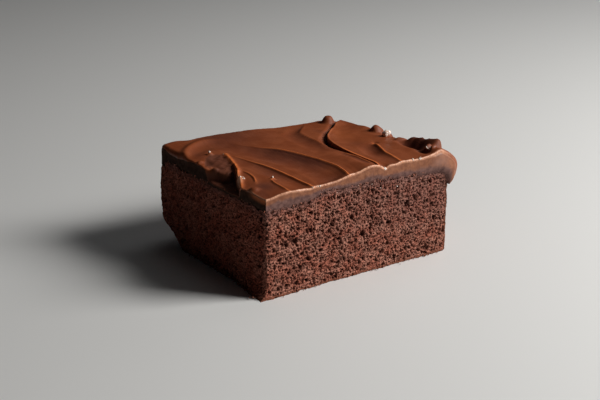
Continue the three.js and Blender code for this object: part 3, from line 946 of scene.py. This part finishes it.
# pale flecks on its edges, partly dried frosting and partly pale bits that stand in for highlights, with
# their places: x, y, how many, largest radius
flecks = {"seed": 9, "least": 0.28, "spread": 0.38, "glint": 0.2}  # least as a share of the largest
fleckSpots = [
    (52.2, 0.3, 14, 0.55), (23.6, 0.2, 4, 0.32), (20.9, 0.2, 3, 0.32), (65.6, 0.3, 6, 0.4),
    (68.6, 0.3, 4, 0.45), (77.2, 30.9, 9, 1.3), (5.4, 22.2, 6, 0.45), (4.9, 20.6, 5, 0.42),
    (8.6, 48.4, 2, 0.45), (12.6, 46, 1, 0.35), (14.1, 14.5, 2, 0.42), (0.9, 69, 2, 0.42),
    (11.5, 68, 2, 0.42), (27, 66.9, 2, 0.42), (76.9, 5.6, 3, 0.4),
]
# painted glints: pale bits where moist crumb on the front cut catches the light: x, z
glintSpots = [(40.4, 34), (53.5, 28.7), (31, 33.2), (46.5, 33.4), (50.4, 31.2), (36.5, 32.6), (58, 30.4)]


def unitBall():
    # ball with 42 points
    shape = bmesh.new()
    bmesh.ops.create_icosphere(shape, subdivisions=2, radius=1)
    points = np.array([point.co[:] for point in shape.verts])
    faces = np.array([[point.index for point in face.verts] for face in shape.faces])
    shape.free()
    return points, faces


def makeBits(name, places, radii, seed, material, node):
    # many small uneven grains joined in one piece
    rng = np.random.default_rng(seed)
    ball, ballFaces = unitBall()
    points, faces = [], []
    for number, (place, radius) in enumerate(zip(places, radii)):
        stretch = rng.uniform(*grains["stretch"], 3)
        turn = np.linalg.qr(rng.normal(size=(3, 3)))[0]
        dents = softNoise(*(1.3 * ball.T + number * 3.7), 1, seed)
        dented = ball * (1 + grains["dent"] * dents)[:, None]
        points.append(dented * stretch @ turn * radius + place)
        faces.append(ballFaces + number * len(ball))
    crusty = np.repeat(rng.random(len(places)) < grains["crusty"], len(ball)).astype(float)
    newPiece(name, np.concatenate(points), np.concatenate(faces).tolist(), [material], node,
             {"crust": crusty})


def onFrosting(x, y):
    # the places on the frosting's top above flat ones
    return frostingPoint(x, y, np.ones(len(x)))


def atCut(front, along, off):
    # flat places so far along a cut and so far behind it
    return (along, off) if front else (off + leftInset(along), along)


def makeLooseCrumbs(material):
    rng = np.random.default_rng(loose["seed"])
    places = []
    for front, (count, reach) in zip((True, False), loose["atFrosting"]):
        along = rng.uniform(0.5, reach, count)
        up = rng.normal(*loose["clingUp"], count) - (0 if front else loose["leftDrop"])
        x, y = atCut(front, along, rng.uniform(*loose["clingOff"], count))
        places.append(np.stack([x, y, crumbTop(x, y) + up], -1))
    for front, (count, reach) in zip((True, False), loose["atFoot"]):
        along = rng.uniform(0, reach, count)
        off = -rng.exponential(loose["spill"], count) - (0.3 if front else 1) * flare(along, 0)
        places.append(np.stack([*atCut(front, along, off), np.zeros(count)], -1))
    y = rng.uniform(*loose["tornFrom"], loose["inTorn"])
    x = rng.uniform(0.2, 0.8, loose["inTorn"]) * rimRight(y)
    places = np.concatenate([*places, onFrosting(x, y)])
    radii = mix(*loose["size"], rng.random(len(places)) ** 2)
    places[:, 2] = np.maximum(places[:, 2], 1.5 * radii)
    makeBits("loose_crumbs", places, radii, loose["seed"], material, "sponge")


def makeFlecks(material):
    rng = np.random.default_rng(flecks["seed"])
    x, y, count, largest = np.array(fleckSpots).T
    spots, largest = [np.repeat(values, count.astype(int), 0) for values in (np.stack([x, y], -1), largest)]
    spots = np.maximum(spots + rng.normal(0, flecks["spread"], spots.shape), 0.1)
    glints = [(x, 0.1, z) for x, z in glintSpots]
    radii = np.append(largest * rng.uniform(flecks["least"], 1, len(spots)),
                      [flecks["glint"]] * len(glints))
    makeBits("frosting_flecks", np.concatenate([onFrosting(*spots.T), glints]), radii, flecks["seed"],
             material, "frosting")


# the looks: small helpers for shader nodes, two groups for the materials, then the materials
def feed(tree, socket, value):
    # links a socket, or sets a plain value
    if isinstance(value, bpy.types.NodeSocket):
        tree.links.new(value, socket)
    elif value is not None:
        socket.default_value = (*value, 1) if socket.type == "RGBA" else value


def newNode(tree, kind, values, **settings):
    node = tree.nodes.new("ShaderNode" + kind)
    for name, setting in settings.items():
        setattr(node, name, setting)
    for socket, value in values.items():
        feed(tree, node.inputs[socket], value)
    return node.outputs


def objectPlace(tree, stretch=(1, 1, 1)):
    # places on the cake in millimetres, squeezed along each axis by stretch
    place = newNode(tree, "TexCoord", {})["Object"]
    return newNode(tree, "Mapping", {"Vector": place, "Scale": [1 / mm / s for s in stretch]})["Vector"]


def pointValue(tree, name):
    return newNode(tree, "Attribute", {}, attribute_name=name)["Fac"]


def noise(tree, vector, size, detail=2, rough=0.5):
    values = {"Vector": vector, "Scale": 1 / size, "Detail": detail, "Roughness": rough}
    return newNode(tree, "TexNoise", values)["Fac"]


def cells(tree, vector, size):
    return newNode(tree, "TexVoronoi", {"Vector": vector, "Scale": 1 / size})["Distance"]


def fit(tree, value, low, high, toLow=0, toHigh=1):
    values = dict(enumerate((value, low, high, toLow, toHigh)))
    return newNode(tree, "MapRange", values, interpolation_type="SMOOTHSTEP")["Result"]


def sums(tree, kind, a, b):
    return newNode(tree, "Math", {0: a, 1: b}, operation=kind)[0]


def times(tree, a, b):
    return sums(tree, "MULTIPLY", a, b)


def blendColour(tree, share, a, b, kind="MIX"):
    return newNode(tree, "Mix", {0: share, 6: a, 7: b}, data_type="RGBA", blend_type=kind)[2]


def newGroup(name, inputs, outputs):
    # its inputs are numbers with a usual value, or vectors where that is None
    group = bpy.data.node_groups.new(name, "ShaderNodeTree")
    for label, value in inputs.items():
        kind = "NodeSocketVector" if value is None else "NodeSocketFloat"
        socket = group.interface.new_socket(label, in_out="INPUT", socket_type=kind)
        if value is not None:
            socket.default_value = value
    for label in outputs:
        group.interface.new_socket(label, in_out="OUTPUT", socket_type="NodeSocketFloat")
    return group, group.nodes.new("NodeGroupInput").outputs


def endGroup(group, values):
    made = group.nodes.new("NodeGroupOutput")
    for label, value in values.items():
        feed(group, made.inputs[label], value)
    return group


def makeCrumbGrain():
    # fine grain of baked batter: light walls, dark pinholes of painted shade, and a tint that wanders
    group, given = newGroup("crumbGrain", {"Place": None, "Size": 0.55},
                            ("Pinholes", "Grain", "Tint", "Height"))
    place = newNode(group, "VectorMath", {0: given["Place"], 1: given["Size"]}, operation="DIVIDE")[0]
    pull = newNode(group, "TexNoise", {"Vector": place, "Scale": 1.4, "Detail": 1})["Color"]
    warped = newNode(group, "VectorMath", {0: pull, 1: (0.9, 0.9, 0.9), 2: place},
                     operation="MULTIPLY_ADD")[0]
    pinholes = fit(group, cells(group, warped, 1), 0.2, 0.42, 1, 0)
    grain = noise(group, place, 0.9, 3, 0.65)
    tint = fit(group, noise(group, place, 9), 0.35, 0.65)
    height = sums(group, "SUBTRACT", grain, pinholes)
    return endGroup(group, {"Pinholes": pinholes, "Grain": grain, "Tint": tint, "Height": height})


def makeSpreadMottle():
    # slow patches, knife streaks and tiny bubbles of spread frosting
    group, given = newGroup("spreadMottle", {"Place": None, "Streak": None},
                            ("Patches", "Streaks", "Height"))
    patches = fit(group, noise(group, given["Place"], 6, 3), 0.3, 0.7)
    streaks = noise(group, given["Streak"], 1, 3, 0.6)
    bubbles = fit(group, cells(group, given["Place"], 1.3), 0.06, 0.16, 1, 0)
    fine = noise(group, given["Place"], 0.5)
    height = sums(group, "ADD", times(group, fine, 0.35), streaks)
    height = sums(group, "SUBTRACT", height, times(group, bubbles, 0.8))
    return endGroup(group, {"Patches": patches, "Streaks": streaks, "Height": height})


# colours, roughness, and how strong the shine and the fine bumps are
frostingLook = {
    "deep": (0.205, 0.048, 0.017),
    "warm": (0.275, 0.072, 0.025),
    # painted shade, for the scooped tracks, the sweep's hollow and the dark places
    "hollow": (0.062, 0.01, 0.003),
    # painted highlights, on crests, pale spots and the curled torn rim
    "crest": (0.88, 0.23, 0.065),
    # painted highlight on the cut rims
    "rim": (0.8, 0.42, 0.26),
    # torn frosting is darker; in the notch this is also painted shade
    "torn": (0.034, 0.012, 0.008),
    # how the knife's streaks break up each of these: from, to, share without and with them
    "streaks": {"hollow": (0.3, 0.7, 0.75, 1), "crest": (0.3, 0.6, 0.7, 1),
                "rim": (0.35, 0.6, 0.35, 1), "torn": (0.35, 0.6, 1, 0.9)},
    "ledge": 0.25,  # how much of the torn place's dark is left at the left cut
    "roughness": (0.34, 0.46),
    "dull": 0.5,  # rougher where it is hollow or torn
    "curlRoughness": 0.2,
    "shine": 0.28,
    "bump": 0.03,
}

# the cuts: tan above and a greyer band below, where they meet the crumb
cutBand = {"from": (0.58, 0.86), "waver": 0.5, "waverSize": 3.5, "paintedLight": 0.5}
cutLooks = {
    "frostingCut": {
        "tan": (0.29, 0.112, 0.054),
        "tanDeep": (0.2, 0.07, 0.035),
        "grey": (0.2, 0.1, 0.082),
        "greyDeep": (0.1, 0.045, 0.038),
        "roughness": (0.7, 0.42),
        "bump": 0.06,
        # painted highlight on the rim
        "rim": (0.8, 0.42, 0.26),
        # painted highlight on the lip's front end
        "paintedLight": (0.34, 0.19, 0.15),
        "shine": 0.22,
    },
    # a shaded copy for the left cut: its colours are painted shade, and it is duller
    "frostingShadedCut": {
        "tan": (0.056, 0.024, 0.015),
        "tanDeep": (0.038, 0.016, 0.01),
        "grey": (0.046, 0.025, 0.018),
        "greyDeep": (0.026, 0.013, 0.009),
        "roughness": (0.95, 0.75),
        "bump": 0.12,
        # painted highlight on the rim
        "rim": (0.5, 0.16, 0.07),
        # painted light: the top's lit colour where it is smeared over the shaded left cut
        "paintedLight": (0.7, 0.19, 0.065),
        "shine": 0.05,
    },
}

fleckLook = {
    "pale": (0.95, 0.86, 0.78),
    "deep": (0.75, 0.5, 0.38),
    "roughness": (0.3, 0.15),
    "shine": 0.5,
}

crumbLook = {
    "wall": (0.54, 0.235, 0.165),
    "wallRed": (0.46, 0.15, 0.095),
    # painted shade: deep in the pores and in the pinholes
    "inner": (0.07, 0.019, 0.011),
    "pinhole": (0.045, 0.012, 0.008),
    "pinholeMost": 0.75,
    "crust": (0.27, 0.09, 0.048),
    "crustDark": (0.13, 0.04, 0.021),
    "soaked": (0.17, 0.085, 0.072),
    "soakedMost": 0.75,
    "grainSize": 0.55,
    "leftShade": (0.7, 0.54, 0.5),  # painted shade: darkens the shaded left cut by so much
    "roughness": (0.8, 0.97),
    "shine": 0.2,
    "bump": 0.12,
}


def newMaterial(name):
    material = bpy.data.materials.new(name)
    material.use_nodes = True
    return material, material.node_tree


def dress(material, look, colour, rough, height=None):
    tree = material.node_tree
    made = {"Base Color": colour, "Roughness": rough, "Specular IOR Level": look["shine"]}
    if height is not None:
        values = {"Height": height, "Distance": look["bump"] * mm}
        made["Normal"] = newNode(tree, "Bump", values)["Normal"]
    for label, value in made.items():
        feed(tree, tree.nodes["Principled BSDF"].inputs[label], value)
    return material


def makeFrostingMaterial(mottle):
    material, tree = newMaterial("chocolateFrosting")
    look = frostingLook
    places = {"Place": objectPlace(tree), "Streak": objectPlace(tree, (0.55, 9, 3))}
    made = newNode(tree, "Group", places, node_tree=mottle)
    colour = blendColour(tree, fit(tree, made["Patches"], 0, 1, 0.3, 0.7), look["deep"], look["warm"])
    shares = {}
    for name, streaks in look["streaks"].items():
        shares[name] = times(tree, pointValue(tree, name), fit(tree, made["Streaks"], *streaks))
        if name == "torn":
            ledge = fit(tree, pointValue(tree, "ledge"), 0, 1, 1, look["ledge"])
            shares[name] = times(tree, shares[name], ledge)
        colour = blendColour(tree, shares[name], colour, look[name])
    dull = times(tree, sums(tree, "MAXIMUM", shares["hollow"], shares["torn"]), look["dull"])
    rough = sums(tree, "ADD", fit(tree, made["Patches"], 0, 1, *look["roughness"]), dull)
    rough = fit(tree, pointValue(tree, "gloss"), 0, 1, rough, look["curlRoughness"])
    return dress(material, look, colour, rough, made["Height"])


def makeCutMaterial(name, look, mottle):
    material, tree = newMaterial(name)
    place = objectPlace(tree)
    places = {"Place": place, "Streak": objectPlace(tree, (0.6, 0.6, 4))}
    made = newNode(tree, "Group", places, node_tree=mottle)
    waver = times(tree, noise(tree, place, cutBand["waverSize"], 4), cutBand["waver"])
    band = fit(tree, sums(tree, "ADD", pointValue(tree, "layer"), waver), *cutBand["from"])
    mottled = fit(tree, noise(tree, place, 1.6, 4, 0.6), 0.32, 0.66)
    tan = blendColour(tree, mottled, look["tanDeep"], look["tan"])
    grey = blendColour(tree, mottled, look["greyDeep"], look["grey"])
    colour = blendColour(tree, band, grey, tan)
    # painted highlight on the lip, and painted light where the top is smeared over the left cut
    paintedLight = times(tree, pointValue(tree, "paintedLight"), cutBand["paintedLight"])
    colour = blendColour(tree, paintedLight, colour, look["paintedLight"])
    rim = times(tree, pointValue(tree, "rim"), fit(tree, made["Streaks"], 0.3, 0.6, 0.3, 1))
    colour = blendColour(tree, rim, colour, look["rim"])
    return dress(material, look, colour, fit(tree, band, 0, 1, *look["roughness"]), made["Height"])


def makeFleckMaterial():
    # flecks, pale and shiny: partly dried frosting, partly painted highlight
    material, tree = newMaterial("frostingFleck")
    tint = fit(tree, noise(tree, objectPlace(tree), 0.8), 0.35, 0.65)
    colour = blendColour(tree, tint, fleckLook["deep"], fleckLook["pale"])
    return dress(material, fleckLook, colour, fit(tree, tint, 0, 1, *fleckLook["roughness"]))


def makeCrumbMaterial(grain):
    material, tree = newMaterial("cakeCrumb")
    look = crumbLook
    places = {"Place": objectPlace(tree), "Size": look["grainSize"]}
    fine = newNode(tree, "Group", places, node_tree=grain)
    wall = blendColour(tree, fine["Tint"], look["wall"], look["wallRed"])
    wall = blendColour(tree, fit(tree, fine["Grain"], 0.36, 0.6, 0.2, 1), look["inner"], wall)
    wall = blendColour(tree, times(tree, fine["Pinholes"], look["pinholeMost"]), wall, look["pinhole"])
    soaked = times(tree, pointValue(tree, "soaked"), look["soakedMost"])
    wall = blendColour(tree, soaked, wall, look["soaked"])
    # painted shade deep in the pores
    colour = blendColour(tree, pointValue(tree, "depth"), wall, look["inner"])
    crust = blendColour(tree, fit(tree, fine["Grain"], 0.35, 0.65), look["crustDark"], look["crust"])
    colour = blendColour(tree, pointValue(tree, "crust"), colour, crust)
    # painted shade: the left cut made darker
    leftShade = blendColour(tree, 1, colour, look["leftShade"], "MULTIPLY")
    colour = blendColour(tree, pointValue(tree, "leftShade"), colour, leftShade)
    rough = fit(tree, fine["Grain"], 0.3, 0.7, *look["roughness"])
    return dress(material, look, colour, rough, fine["Height"])


mottle = makeSpreadMottle()
crumbMaterial = makeCrumbMaterial(makeCrumbGrain())
cutMaterials = [makeCutMaterial(name, look, mottle) for name, look in cutLooks.items()]
makeFrosting([makeFrostingMaterial(mottle), *cutMaterials])
makeCrumb(crumbMaterial)
makeLooseCrumbs(crumbMaterial)
makeFlecks(makeFleckMaterial())


# the floor, lights and camera
studio = {
    "floorColour": (0.78, 0.78, 0.77),
    "floorRoughness": 0.5,
    "lookAt": (0, 0, 0.02),
    "worldColour": (0.8, 0.85, 0.9),
    "worldStrength": 0.008,
    "cameraPlace": (-0.21257, -0.33157, 0.17854),  # from the near corner
    "cameraTurn": (-34.51, -19.79),  # round, and down
}
lights = {
    "key": dict(place=(0.49, -0.41, 0.48), size=(0.34, 0.34), power=7.6, colour=(1, 0.985, 0.96)),
    "top": dict(place=(0.4, 0.2, 1.1), size=(0.7, 0.7), power=0.5, colour=(1, 1, 1)),
    "side": dict(place=(1.1, 0.3, 0.45), size=(0.6, 0.5), power=0.8, colour=(0.97, 0.98, 1)),
}


def makeStage():
    material, tree = newMaterial("floor")
    shader = tree.nodes["Principled BSDF"].inputs
    feed(tree, shader["Base Color"], studio["floorColour"])
    feed(tree, shader["Roughness"], studio["floorRoughness"])
    bpy.ops.mesh.primitive_plane_add(size=3)
    floor = bpy.context.object
    floor.name = "floor"
    floor.data.materials.append(material)
    world = bpy.data.worlds.new("studio")
    bpy.context.scene.world = world
    world.use_nodes = True
    background = world.node_tree.nodes["Background"].inputs
    feed(world.node_tree, background["Color"], studio["worldColour"])
    feed(world.node_tree, background["Strength"], studio["worldStrength"])


def softLight(name, place, size, power, colour):
    light = bpy.data.lights.new(name, "AREA")
    light.shape = "RECTANGLE"
    light.size, light.size_y = size
    light.energy = power
    light.color = colour
    lamp = bpy.data.objects.new(name, light)
    lamp.location = place
    lamp.rotation_euler = (Vector(studio["lookAt"]) - Vector(place)).to_track_quat("-Z", "Y").to_euler()
    bpy.context.scene.collection.objects.link(lamp)


def makeCamera():
    camera = bpy.data.cameras.new("camera")
    camera.lens = 75
    camera.clip_start, camera.clip_end = 0.01, 20
    holder = bpy.data.objects.new("camera", camera)
    bpy.context.scene.collection.objects.link(holder)
    holder.location = nearCorner + Vector(studio["cameraPlace"])
    yaw, pitch = studio["cameraTurn"]
    holder.rotation_euler = (math.radians(90 + pitch), 0, math.radians(yaw))
    bpy.context.scene.camera = holder


makeStage()
for name, light in lights.items():
    softLight(name, **light)
makeCamera()
bpy.context.scene.view_settings.view_transform = "Standard"
